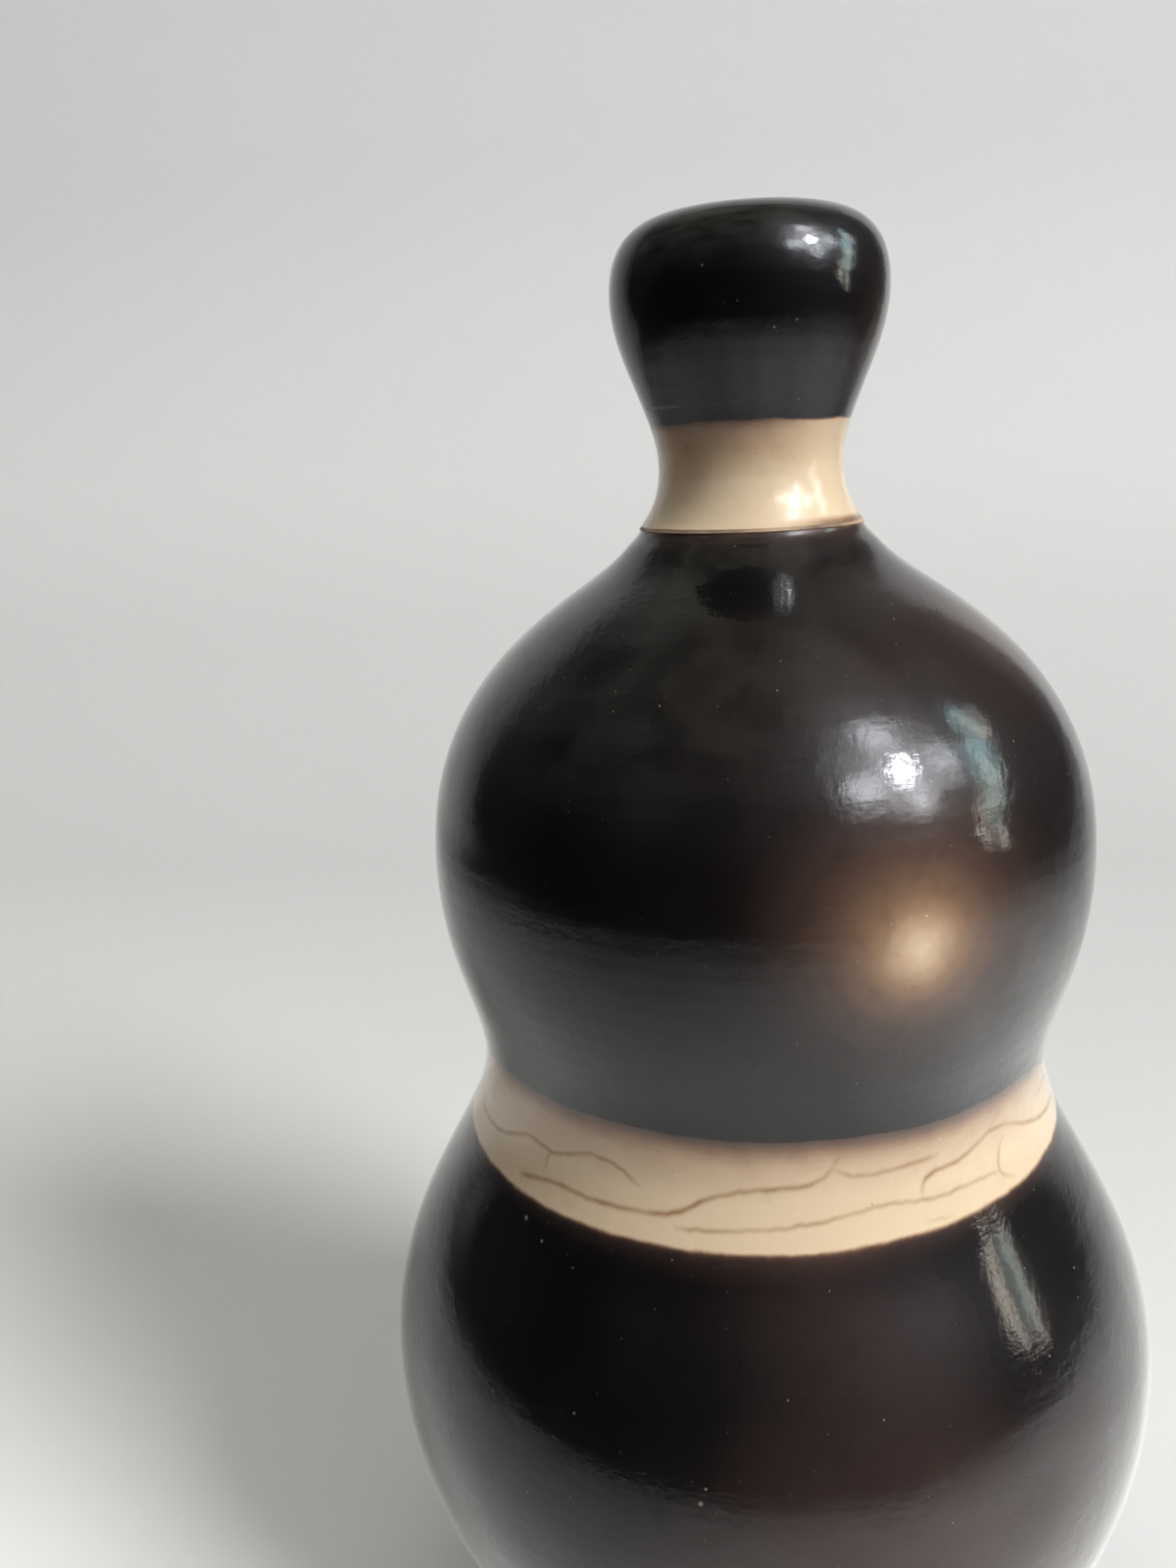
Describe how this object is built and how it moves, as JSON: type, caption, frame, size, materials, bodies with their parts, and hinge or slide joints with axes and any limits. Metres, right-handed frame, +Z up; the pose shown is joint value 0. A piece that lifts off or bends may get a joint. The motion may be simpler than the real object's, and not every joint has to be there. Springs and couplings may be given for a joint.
{
  "type": "double gourd vase",
  "caption": "Free-standing double gourd vase of smoked black pottery with a bare cream band at the waist, a bare cream neck and a bud-shaped mouth for a stem.",
  "frame": {"origin": "centre of the foot ring on the surface that the vase stands on", "axes": "+Z up along the vase's axis through the mouth; the vase is round, and -Y faces the viewer of the picture"},
  "size_m": [0.1418, 0.1418, 0.27],
  "materials": {
    "smoked_black": "burnished, smoked black",
    "bare_cream": "burnished, bare with smoke-stained crackle",
    "luting_slip": "matte fired slip"
  },
  "bodies": {
    "root": {"foot_ring": "smoked_black", "foot_slip": "luting_slip", "lower_gourd": "smoked_black", "waist_slip": "luting_slip", "waist_collar": "bare_cream", "upper_gourd": "smoked_black", "neck_slip": "luting_slip", "neck_collar": "bare_cream", "bud_slip": "luting_slip", "mouth_bud": "smoked_black"}
  },
  "joints": []
}
